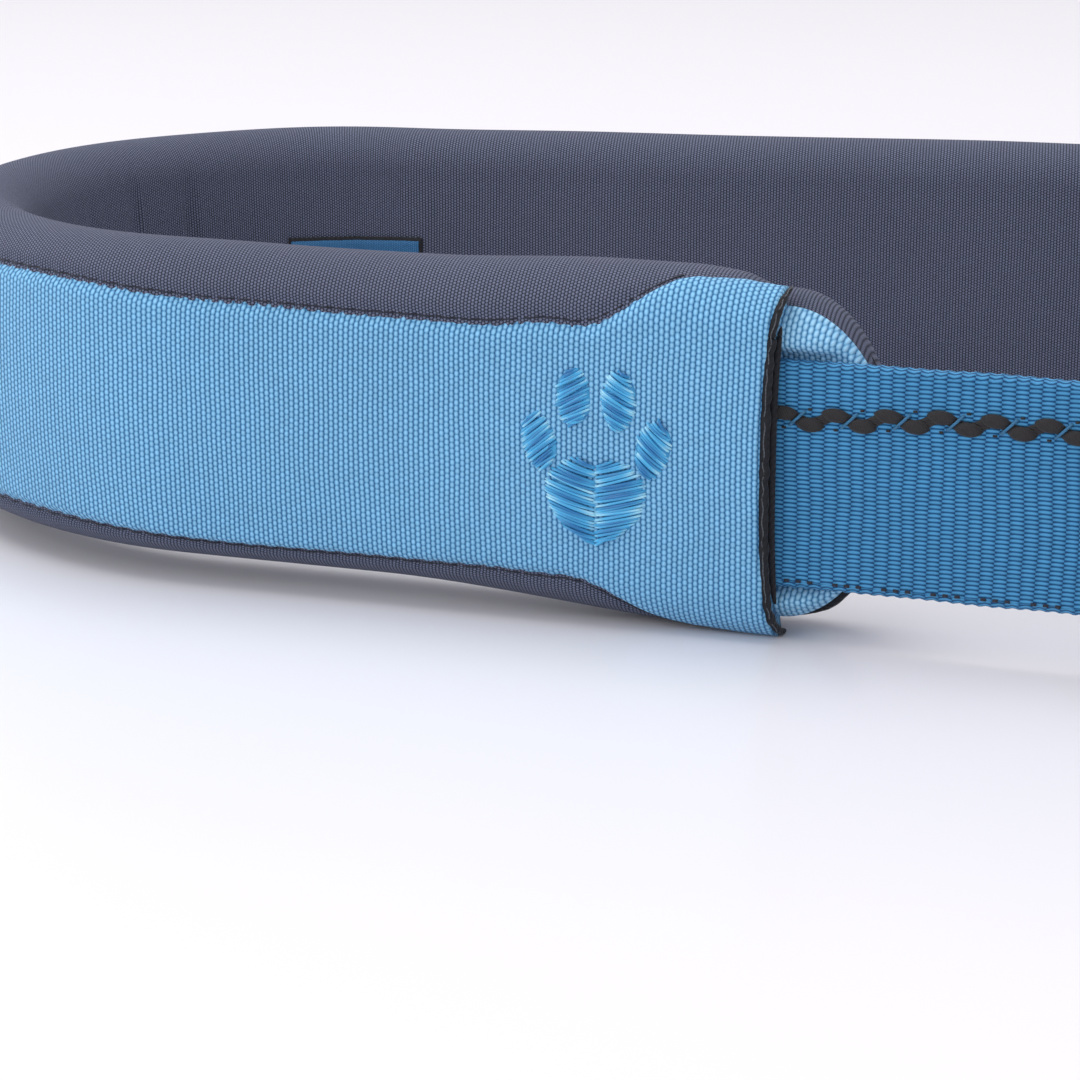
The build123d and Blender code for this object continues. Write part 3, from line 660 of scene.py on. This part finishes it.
def mouth_edge_and_shadow(side, mouth):
    """Raw black edge of a mouth: a thin fuzzy roll along its hollow curve, made wide enough to
    take in part of the shade beside it, a black rope just inside the tunnel that is painted
    shadow, and the line of the grey thread that lies on the first."""
    arc = np.linspace(0.5 - PANEL_AT_MOUTH, PANEL_AT_MOUTH - 0.3, 170)
    share = arc / SECTION_HALF
    _, height = pad_surface(np.full_like(arc, side_q(side, mouth)), share)
    q = mouth_line(side, mouth, height)
    depth, height = pad_surface(q, share, -0.15)
    taper = np.sqrt(np.clip(1 - (arc / (PANEL_AT_MOUTH + 0.2)) ** 4, 0.04, 1))
    # The roll is partly the real black edge and partly painted shade beside it.
    radius = (0.66 + 0.09 * ripple(arc, 3, 4.0) + 0.08 * ripple(arc, 4, 1.3)) * taper
    roll = rope_shape(place(q + side * 0.34, depth - 0.22, MIDDLE + height), radius, 10, 0.8)
    # Black rope just inside the tunnel: painted shadow of the mouth.
    shadow_half = 15.5
    tunnel = np.abs(arc) < shadow_half
    thin = 0.46 * np.sqrt(np.clip(1 - (arc[tunnel] / shadow_half) ** 6, 0.02, 1))
    inner = rope_shape(place(q + side * 0.95, depth - 1.45, MIDDLE + height)[tunnel], thin)
    depth, height = pad_surface(q, share, 0.12)
    line = place(q + side * (0.50 + 0.10 * ripple(arc, 6, 1.7)), depth, MIDDLE + height)
    return roll, inner, line


def seam_thread_and_shade(sign):
    """Dark thread lying in the groove along one edge of the face panel: the seam's thread, and also
    painted shadow of the groove.
    """
    first, last = side_q(-1, FRONT_MOUTH - SEAM_STOP), side_q(1, BACK_MOUTH - SEAM_STOP)
    q = np.arange(first, last, 0.4)
    share = (panel_shift(q) + sign * (panel_half(q) + 0.12)) / SECTION_HALF
    depth, height = pad_surface(q, share, 0.02)
    stitch = 0.5 + 0.5 * np.cos(2 * math.pi * q / SEAM_STITCH)
    return rope_shape(place(q, depth, MIDDLE + height), 0.08 + 0.07 * stitch, 6)


def tongue_grid(side, mouth, sink):
    """Face cloth over a rounded pad end: full above and below the strap, flat behind it."""
    turn = np.linspace(0, math.pi / 2 - 0.02, 46)
    x = np.concatenate([np.linspace(-12, 0, 16)[:-1], TONGUE_LENGTH * np.sin(turn)])
    X, V = np.meshgrid(x, np.linspace(-1, 1, 61), indexing="ij")
    reach = np.sqrt(np.clip(1 - (np.clip(X, 0, None) / (TONGUE_LENGTH + 0.1)) ** 2, 0, 1))
    half = TUNNEL_HALF + (TONGUE_HALF + 0.1 - TUNNEL_HALF) * smooth(-5.5, -1.5, X)
    half = half - TONGUE_DROP * smooth(-0.2, 0.2, V) * smooth(-6, 0, X)
    height = V * half * reach
    rim = np.minimum(half * reach - np.abs(height), TONGUE_LENGTH - X)
    rolled = np.sqrt(np.clip(1 - (1 - np.clip(rim / TONGUE_ROLL, 0, 1)) ** 2, 0, 1))
    free = smooth(-9, -2, X)
    depth = TONGUE_DEPTH + (3.2 + 2.9 * free) * rolled
    flat = np.abs(height - (STRAP_MIDDLE - MIDDLE)) - STRAP_WIDTH / 2
    behind = -STRAP_THICK / 2 - 0.15
    depth = np.where(depth > behind, behind + (depth - behind) * smooth(0.2, 1.6, flat), depth)
    q = side_q(side, mouth + X)
    return place(q, depth - sink, MIDDLE + height), np.stack([q, height], -1)


def tongue_piping(side, mouth):
    """Black piping round a pad end, fuller along its lower half."""
    angle = np.linspace(-math.pi / 2, math.pi / 2, 90)
    along = (TONGUE_LENGTH + 0.05) * np.cos(angle)
    height = (TONGUE_HALF - TONGUE_DROP * smooth(-0.2, 0.2, np.sin(angle))) * np.sin(angle)
    lower = (1 - smooth(-0.2, 0.5, np.sin(angle))) * smooth(-1.0, -0.86, np.sin(angle))
    line = place(side_q(side, mouth + along), -5.0 + 1.2 * lower, MIDDLE + height)
    return rope_shape(line, 0.27 + 0.34 * lower + 0.05 * ripple(angle * 20, 9, 4.0))


def panel_point(along, up, lift):
    """Points on the face panel's front side, lifted off the cloth."""
    q = side_q(-1, np.asarray(along, float))
    depth, height = pad_surface(q, np.asarray(up, float) / SECTION_HALF, CLOTH_HALF)
    return place(q, depth + lift, MIDDLE + height)


def satin(number, first, last, arch, rng):
    """One satin stitch on the panel between two places, arched clear of the cloth.
    Its UVs say how far along the stitch a point is, and which stitch it is on."""
    t = np.linspace(0, 1, 11)
    first = np.asarray(first) + rng.normal(0, STITCH_SCATTER, 2)
    last = np.asarray(last) + rng.normal(0, STITCH_SCATTER, 2)
    spots = first + (last - first) * t[:, None]
    rise = np.sqrt(np.sin(math.pi * t).clip(0)) * (arch + rng.uniform(-0.05, 0.05))
    line = panel_point(spots[:, 0], spots[:, 1], rise - 0.14)
    points, faces, uvs = rope_shape(line, STITCH_RADIUS + 0.05 * np.sin(math.pi * t))
    along = uvs[:, 0] / max(uvs[:, 0].max(), 1e-6)
    return points, faces, np.column_stack([along, number + 0.4 * (uvs[:, 1] / 1.4 % 1)])


def stitch_bed(number, centre, radii, lean, parted=False):
    """Low padded bed under the stitches of one part of the paw. A parted one has a valley
    down its middle."""
    U, V = np.meshgrid(np.linspace(-1, 1, 31), np.linspace(-1, 1, 31), indexing="ij")
    x, y = U * np.sqrt(1 - V**2 / 2), V * np.sqrt(1 - U**2 / 2)
    rim = np.sqrt(np.clip(1 - x**2 - y**2, 0, 1))
    rise = 0.34 * rim * (np.clip(2.5 * np.abs(x) - 0.2, 0, 1) if parted else 1)
    x, y = x * radii[0], y * radii[1]
    along = centre[0] + x * math.cos(lean) - y * math.sin(lean)
    up = centre[1] + x * math.sin(lean) + y * math.cos(lean)
    uvs = np.stack([0.30 + 0.1 * U, number + 9 * V], -1)
    return shell_shape(panel_point(along, up, rise - 0.08), panel_point(along, up, -0.3), uvs)


def stitch_rows(wide, tall, least):
    """Places of the stitches across an oval, each with half its length there."""
    for up in np.arange(0.2 - tall, tall, STITCH_PITCH):
        reach = wide * math.sqrt(max(0.0, 1 - (up / tall) ** 2))
        if reach > least:
            yield up, reach


def paw_emblem():
    """Paw print in satin stitch: one large pad in two slanted halves, and four toes."""
    rng = np.random.default_rng(7)
    size = EMBLEM_SCALE
    wide, tall = PAW_PAD[0] * size, PAW_PAD[1] * size
    bed = (wide - 0.2 * size, tall - 0.1 * size)
    stitches = [stitch_bed(800, (EMBLEM_ALONG, -tall), bed, 0.0, parted=True)]
    for half in (-1, 1):
        for y, reach in stitch_rows(wide, tall, 0.5):
            start = (EMBLEM_ALONG - 0.1 * half, y - 4.2 * size - 0.5)
            end = (EMBLEM_ALONG + half * reach, start[1] + 0.5 + 0.20 * reach)
            stitches.append(satin(len(stitches), start, end, 0.55, rng))
    wide, tall = PAW_TOE[0] * size, PAW_TOE[1] * size
    bed = (wide - 0.1 * size, tall - 0.1 * size)
    for across, up, lean in PAW_TOES:
        tilt = math.radians(lean)
        slope = tilt - math.copysign(0.35, across)
        centre = (EMBLEM_ALONG + across * size, up * size)
        stitches.append(stitch_bed(900 + 40 * across, centre, bed, tilt))
        for t, reach in stitch_rows(wide, tall, 0.35):
            x, y = centre[0] - t * math.sin(tilt), centre[1] + t * math.cos(tilt)
            dx, dy = reach * math.cos(slope), reach * math.sin(slope)
            stitches.append(satin(len(stitches), (x - dx, y - dy), (x + dx, y + dy), 0.5, rng))
    return stitches


def label_shape(grow, low, high):
    """Blank patch on the lining, inside the back wall's bend."""
    ends = np.linspace(LABEL_ENDS[0] - grow, LABEL_ENDS[1] + grow, 44)
    Q, H = np.meshgrid(ends, np.linspace(-1, 1, 13), indexing="ij")
    up = LABEL_UP + H * (LABEL_HEIGHT / 2 + grow)
    share = np.where(up < 0, -1.0, 1.0) * (1 - SIDE_SHARE * np.abs(up) / FLAT_HALF)
    depth, _ = pad_surface(Q, share)
    outer, inner = (place(Q, depth - lift, MIDDLE + up) for lift in (high, low))
    return shell_shape(outer, inner, np.stack([Q, up], -1))


# ---------------------------------------------------------------- the strap


def strap_ring(width, thick):
    """Cross-section of the strap as depth and height pairs, with soft rounded edges."""
    half, flat = thick / 2, (width - thick) / 2
    sides = np.linspace(-1, 1, 27)
    turn = np.linspace(0, math.pi, 9)[1:-1]
    outer = np.column_stack([np.full(27, half), sides * flat])
    top = np.column_stack([half * np.cos(turn), flat + half * np.sin(turn)])
    return np.concatenate([outer, top, -outer, -top])


def line_length(line):
    """Distance along a line at each of its points."""
    return np.concatenate([[0], np.cumsum(np.linalg.norm(np.diff(line, axis=0), axis=1))])


def ribbon(line, width=STRAP_WIDTH, thick=STRAP_THICK, phase=0.0):
    """Webbing swept along a line seen from above, with ribs along its width and scalloped
    edges. phase is how far along the weave it starts."""
    length = line_length(line)
    s = np.linspace(0, length[-1], int(length[-1] / WEB_STEP) + 2)
    path = np.column_stack([np.interp(s, length, line[:, 0]), np.interp(s, length, line[:, 1])])
    for _ in range(3):
        path[1:-1] = (path[:-2] + 2 * path[1:-1] + path[2:]) / 4
    tangent = np.gradient(path, axis=0)
    tangent /= np.linalg.norm(tangent, axis=1)[:, None]
    normal = np.column_stack([tangent[:, 1], -tangent[:, 0]])
    ring = strap_ring(width, thick)
    rib = 0.5 + 0.5 * np.cos(2 * math.pi * (s + phase) / WEB_COLUMN)
    edge = np.abs(ring[:, 1]) > (width - thick) / 2 + 0.01
    depth = ring[:, 0][None] * (1 + WEB_RELIEF * (rib[:, None] - 1) * ~edge[None])
    scallop = 0.16 * (rib - 0.6) + 0.07 * ripple(s + phase, 14, 11.0)
    height = ring[:, 1][None] + np.sign(ring[:, 1])[None] * edge[None] * scallop[:, None]
    flat = path[:, None] + normal[:, None] * depth[:, :, None]
    points = np.concatenate([flat, (STRAP_MIDDLE + height)[:, :, None]], 2)
    around = line_length(np.vstack([ring, ring[:1]]))
    uvs = np.stack(np.meshgrid(s + phase, around, indexing="ij"), -1)
    return tube_shape(points, uvs)


def layer(first, last, depth):
    """Line of a strap layer between two places on the loop, seen from above."""
    q = np.linspace(first, last, int(abs(last - first) / 0.3) + 2)
    return place(q, depth, 0.0)[:, :2]


def fold(side):
    """Line of the strap round a buckle's bar, from its outer layer to its inner one."""
    turn = np.linspace(FOLD_LEAN, 2 * math.pi - FOLD_LEAN, 70)
    x = END_X - STRAP_THICK / 2 + FOLD_RADIUS * np.sin(turn)
    y = AXIS_Y + side * (BAR_PLACE + FOLD_RADIUS * np.cos(turn))
    return np.column_stack([x, y])


def strap_line():
    """The strap from its hem, round the socket's bar, round the loop and back from the plug's."""
    return np.concatenate([
        layer(side_q(1, HEM_START), FOLD_Q, INNER_DEPTH),
        fold(1)[::-1],
        layer(FOLD_Q, -FOLD_Q, 0.0),
        fold(-1),
        layer(-FOLD_Q, side_q(-1, RETURN_END), INNER_DEPTH),
    ])


def slider_line():
    """The strap's last stretch: back along the front side and round the slider's middle bar."""
    turn = np.linspace(0, math.pi, 30)
    loop_along = SLIDER_ALONG - SLIDER_LOOP_RADIUS * np.sin(turn)
    loop_depth = SLIDER_BAR_DEPTH + SLIDER_LOOP_RADIUS * np.cos(turn)
    along = np.concatenate([[RETURN_END, 130.5, 128.5], loop_along, [124.0, SLIDER_TAIL]])
    depth = np.concatenate([[INNER_DEPTH, -1.9, -2.0], loop_depth, [-4.6, -3.96]])
    return place(side_q(-1, along), depth, 0.0)[:, :2]


def fold_rise(q):
    """How far the strap's outer layer stands out on its way round a buckle's bar."""
    past = np.clip(np.abs(q) - FOLD_Q, 0, None)
    run = FOLD_REACH - FOLD_RADIUS * math.cos(FOLD_LEAN)
    slope = (FOLD_RADIUS * math.sin(FOLD_LEAN) - STRAP_THICK / 2) / run
    arc = np.sqrt(np.clip(FOLD_RADIUS**2 - (FOLD_REACH - past) ** 2, 0, None)) - STRAP_THICK / 2
    return np.where(past < run, past * slope, arc)


def strap_surface(q, up, lift):
    """Points off the strap's outer face by a lift."""
    return place(q, STRAP_THICK / 2 + lift + fold_rise(q), STRAP_MIDDLE + np.asarray(up, float))


def tracer_up(along_loop):
    """How far above the strap's middle the tracer runs, lower where it leaves the front mouth."""
    drop = 0.85 * (1 - smooth(FRONT_MOUTH + 2, FRONT_MOUTH + 20, along_loop - ARC_HALF))
    return TRACER_HEIGHT - STRAP_MIDDLE - drop


def tracer(first, last):
    """Braided tracer: pointed ovals in two staggered rows on a dark wavy base, a small knot
    opposite each oval, and a slanted blue yarn beside every second one."""
    side = math.copysign(1, first)
    start, stop = sorted((abs(first), abs(last)))
    half_pitch = TRACER_PITCH / 2
    u = np.arange(start, stop, 0.25)
    wave = 0.50 * np.cos(2 * math.pi * (u - start - half_pitch) / (2 * TRACER_PITCH))
    U, E = np.meshgrid(u, np.linspace(-1, 1, 5), indexing="ij")
    spots = tracer_up(u)[:, None] + wave[:, None] + E * 0.66
    outer, inner = (strap_surface(side * U, spots, lift) for lift in (0.05, -0.15))
    braids, yarns = [shell_shape(outer, inner, np.stack([U, E], -1))], []
    t, reach = np.linspace(-1, 1, 15), np.linspace(-1, 1, 11)
    width = TRACER_OVAL[1] * (1 - np.abs(t) ** 2.2) ** 0.75 + 0.03
    for number, middle in enumerate(np.arange(start + half_pitch, stop - half_pitch, TRACER_PITCH)):
        row = -TRACER_ROW if number % 2 else TRACER_ROW
        up = tracer_up(middle)
        along = side * (middle + TRACER_OVAL[0] * t)
        oval = strap_surface(along, up + row - 0.14 * t, 0.06 + 0.22 * (1 - t**2))
        braids.append(rope_shape(oval, width, 14, 0.34))
        along = side * (middle + np.array([-0.22, 0, 0.22]))
        braids.append(rope_shape(strap_surface(along, up - row * 1.9, 0.03), 0.13, squash=0.8))
        if row > 0:
            slant = TRACER_YARN_REACH * reach
            along = side * (middle + 1.45 + slant)
            yarn = strap_surface(along, up + 0.05 + slant, 0.30 - 0.26 * reach**2)
            yarns.append(rope_shape(yarn, 0.17, 6))
    return braids, yarns


def edge_knots(first, last):
    """Dark thread ends in threes just above the strap's lower edge."""
    side, knots = math.copysign(1, first), []
    for group in np.arange(abs(first), abs(last), KNOT_GROUP):
        for step in KNOT_STEPS:
            spot = group + step + np.array([-0.28, 0, 0.28])
            knots.append(rope_shape(strap_surface(side * spot, KNOT_UP, 0.02), 0.17, 6))
    return knots


def keeper_line():
    """Line of the short strap that holds the leash ring, humped over the ring's bar."""
    t = np.linspace(-KEEPER_HALF, KEEPER_HALF, 140)
    hump = RING_BAR_DEPTH + np.sqrt(np.clip(KEEPER_HUMP**2 - t**2, 0, None))
    near = np.clip(1 - (np.abs(t) - KEEPER_HUMP) / 1.6, 0, 1)
    skirt = KEEPER_DEPTH + (RING_BAR_DEPTH - KEEPER_DEPTH) * near**2
    depth = np.where(np.abs(t) < KEEPER_HUMP, hump, skirt)
    return place(side_q(1, RING_ALONG + t), depth, 0.0)[:, :2]


def stitch_line(spots):
    """Sewn stitches along a line of points: short threads that dive at both ends."""
    run = line_length(spots)
    radius = SEWN_RADIUS * (0.45 + 0.55 * np.sin(np.linspace(0.3, 2.84, 7)))
    stitches = []
    for start in np.arange(0, run[-1] - SEWN_LENGTH, SEWN_LENGTH + SEWN_GAP):
        s = np.linspace(start, start + SEWN_LENGTH, 7)
        points = np.column_stack([np.interp(s, run, spots[:, axis]) for axis in range(3)])
        stitches.append(rope_shape(points, radius, 6))
    return stitches


def on_strap(side, along, up, depth):
    """Points beside the strap on a long side."""
    return place(side_q(side, np.asarray(along, float)), depth, STRAP_MIDDLE + np.asarray(up, float))


def box_stitch(side, middle, half_along, half_up, depth):
    """Sewn box with a cross in it."""
    corners = [(-1, -1), (1, -1), (1, 1), (-1, 1), (-1, -1), (1, 1), (-1, 1), (1, -1)]
    stitches = []
    for (a, b), (c, d) in zip(corners[:-1], corners[1:]):
        t = np.linspace(0, 1, 30)
        along = middle + half_along * (a + (c - a) * t)
        stitches += stitch_line(on_strap(side, along, half_up * (b + (d - b) * t), depth))
    return stitches


def bartack(middle):
    """Dense zigzag of thread across the ring's keeper."""
    half_width, half_up = TACK_HALF
    turns = np.arange(-half_up, half_up, 0.42)
    spots = [(middle + half_width * (1 if n % 2 else -1), up) for n, up in enumerate(turns)]
    t = np.linspace(0, 1, 6)
    depth = TACK_DEPTH + 0.12 * np.sin(math.pi * t)
    shapes = []
    for (a, b), (c, d) in zip(spots[:-1], spots[1:]):
        line = on_strap(1, a + (c - a) * t, b + (d - b) * t, depth)
        shapes.append(rope_shape(line, 0.17, 6))
    return shapes


# ---------------------------------------------------------------- making it

lining = build("pad_lining", LINER, pad_lining())
outer_face, panel_uvs = panel_grid(CLOTH_HALF)
inner_face, _ = panel_grid(-CLOTH_HALF)
face = build("face_panel_cloth", FACE_CLOTH, shell_shape(outer_face, inner_face, panel_uvs))
# The dark seam threads stand for the seam and also for the shadow in its groove: partly painted
# shade.
seams_and_shade = [
    build("upper_seam_and_shade", DARK_THREAD, seam_thread_and_shade(1)),
    build("lower_seam_and_shade", DARK_THREAD, seam_thread_and_shade(-1)),
]

ends = {}
for side, mouth, name in ((-1, FRONT_MOUTH, "front"), (1, BACK_MOUTH, "rear")):
    roll, inner, line = mouth_edge_and_shadow(side, mouth)
    # Each edge object holds the black roll and the black rope that is painted shadow inside the
    # tunnel.
    ends[name, "edge"] = build(name + "_mouth_edge_and_shadow", BLACK_EDGE, roll, inner)
    ends[name, "thread"] = build(name + "_mouth_thread", EDGE_THREAD, rope_shape(line, 0.07, 6))
    outer, uvs = tongue_grid(side, mouth, 0.0)
    inner, _ = tongue_grid(side, mouth, 0.6)
    tongue = shell_shape(outer, inner, uvs)
    ends[name, "tongue"] = build(name + "_tongue_cloth", TONGUE_CLOTH, tongue)
    ends[name, "piping"] = build(name + "_tongue_edge", BLACK_EDGE, tongue_piping(side, mouth))

emblem = build("paw_embroidery", EMBLEM, *paw_emblem())
label = build("inner_label_tape", LABEL, label_shape(-0.45, 0.0, 0.42))
# Black rim round the label, standing in for the shade of the recess it sits in: painted shade.
label_recess_shade = build("inner_label_recess_shade", BLACK_EDGE, label_shape(0.0, -0.1, 0.30))

strap = build("collar_strap", WEBBING, ribbon(strap_line()))
strap_end = build("strap_slider_end", WEBBING, ribbon(slider_line(), phase=RETURN_PHASE))
front_braids, front_yarns = tracer(side_q(-1, TRACER_STARTS[0]), -TRACER_END)
rear_braids, rear_yarns = tracer(side_q(1, TRACER_STARTS[1]), TRACER_END)
braid = build("tracer_braid", TRACER, *front_braids, *rear_braids)
braid_yarn = build("tracer_yarn", TRACER_YARN, *front_yarns, *rear_yarns)
knots = build(
    "edge_thread", DARK_THREAD,
    *edge_knots(side_q(-1, KNOT_STARTS[0]), -CORNER_START),
    *edge_knots(side_q(1, KNOT_STARTS[1]), CORNER_START),
)
keeper = build("ring_keeper_strap", WEBBING, ribbon(keeper_line(), KEEPER_WIDTH, KEEPER_THICK))
tacks = build(
    "ring_keeper_tacks", DARK_THREAD,
    *bartack(RING_ALONG - TACK_PLACE), *bartack(RING_ALONG + TACK_PLACE),
)
hem = build("strap_hem_stitch", DARK_THREAD, *box_stitch(1, HEM_MIDDLE, *HEM_HALF, HEM_DEPTH))

# ---------------------------------------------------------------- bodies and hidden parts

for piece, slot, *nodes in (
    (lining, "liner_cloth", "pad_liner", "foam_core"),
    (face, "face_cloth", "face_panel"),
    (seams_and_shade[0], "dark_thread", "upper_panel_seam"),
    (seams_and_shade[1], "dark_thread", "lower_panel_seam"),
    (ends["front", "edge"], "black_binding", "front_mouth_binding"),
    (ends["rear", "edge"], "black_binding", "rear_mouth_binding"),
    (ends["front", "thread"], "dark_thread"),
    (ends["rear", "thread"], "dark_thread"),
    (ends["front", "tongue"], "face_cloth", "front_tongue"),
    (ends["rear", "tongue"], "face_cloth", "rear_tongue"),
    (ends["front", "piping"], "black_binding", "front_tongue_piping"),
    (ends["rear", "piping"], "black_binding", "rear_tongue_piping"),
    (emblem, "emblem_thread", "paw_emblem"),
    (label, "label_tape", "inner_label"),
    (label_recess_shade, "black_binding"),
    (strap, "webbing", "strap", "strap_hem"),
    (braid, "tracer_braid", "tracer_cord"),
    (braid_yarn, "webbing"),
    (knots, "dark_thread"),
    (keeper, "webbing", "ring_keeper"),
    (tacks, "dark_thread", "keeper_bartacks"),
    (hem, "dark_thread", "hem_stitch"),
):
    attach(piece, "collar")
    if nodes:
        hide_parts(*nodes)

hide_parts("strap_return", "slider_loop")
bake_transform(strap_end)

for material, nodes in (
    (STEEL, ("leash_ring", "slider")),
    (PLASTIC, ("buckle_socket", "buckle_plug", "upper_latch_arm", "lower_latch_arm")),
):
    for node in nodes:
        for material_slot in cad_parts[node].material_slots:
            material_slot.material = material


# ---------------------------------------------------------------- floor, light and camera


def floor_material():
    """White sweep, faintly glossy and uneven."""
    g = Nodes("white_floor")
    point = g.object_point()
    cloud = g.noise(point, 2.2, 3.0)
    colour = g.ramp(cloud, [(0.3, (0.82, 0.81, 0.835)), (0.7, (0.835, 0.825, 0.85))])
    return g.finish(colour, 0.32, specular=0.35)


bpy.ops.mesh.primitive_grid_add(x_subdivisions=8, y_subdivisions=8, size=8.0)
floor = bpy.context.object
floor.name = "floor"
floor.data.materials.append(floor_material())

world = bpy.data.worlds.new("soft_white_room")
world.use_nodes = True
background = world.node_tree.nodes["Background"]
background.inputs["Color"].default_value = (0.97, 0.95, 1.0, 1)
background.inputs["Strength"].default_value = 0.785
bpy.context.scene.world = world


def soft_light(name, spot, aim, size, power, colour=(1, 1, 1)):
    """Large square light facing a point, in metres and watts."""
    data = bpy.data.lights.new(name, "AREA")
    data.size, data.energy, data.color = size, power, colour
    light = bpy.data.objects.new(name, data)
    light.location = spot
    light.rotation_euler = (Vector(aim) - Vector(spot)).to_track_quat("-Z", "Y").to_euler()
    bpy.context.scene.collection.objects.link(light)


soft_light("overhead", (-0.22, 0.10, 0.95), (0, 0, 0), size=0.8, power=5.4, colour=(1, 0.99, 0.98))
soft_light("front_left", (-0.75, -0.85, 0.55), (0, -0.05, 0.02), size=0.7, power=3.0)
soft_light("low_left", (-0.70, -0.25, 0.16), (0, -0.05, 0.0), size=0.3, power=0.3)

camera_data = bpy.data.cameras.new("camera")
camera_data.lens, camera_data.sensor_width = CAMERA_LENS, 36
camera = bpy.data.objects.new("camera", camera_data)
camera.location = CAMERA_PLACE
camera.rotation_euler = (math.radians(90 - CAMERA_DOWN), 0, math.radians(CAMERA_TURN))
bpy.context.scene.collection.objects.link(camera)
bpy.context.scene.camera = camera
bpy.context.scene.view_settings.view_transform = "Standard"
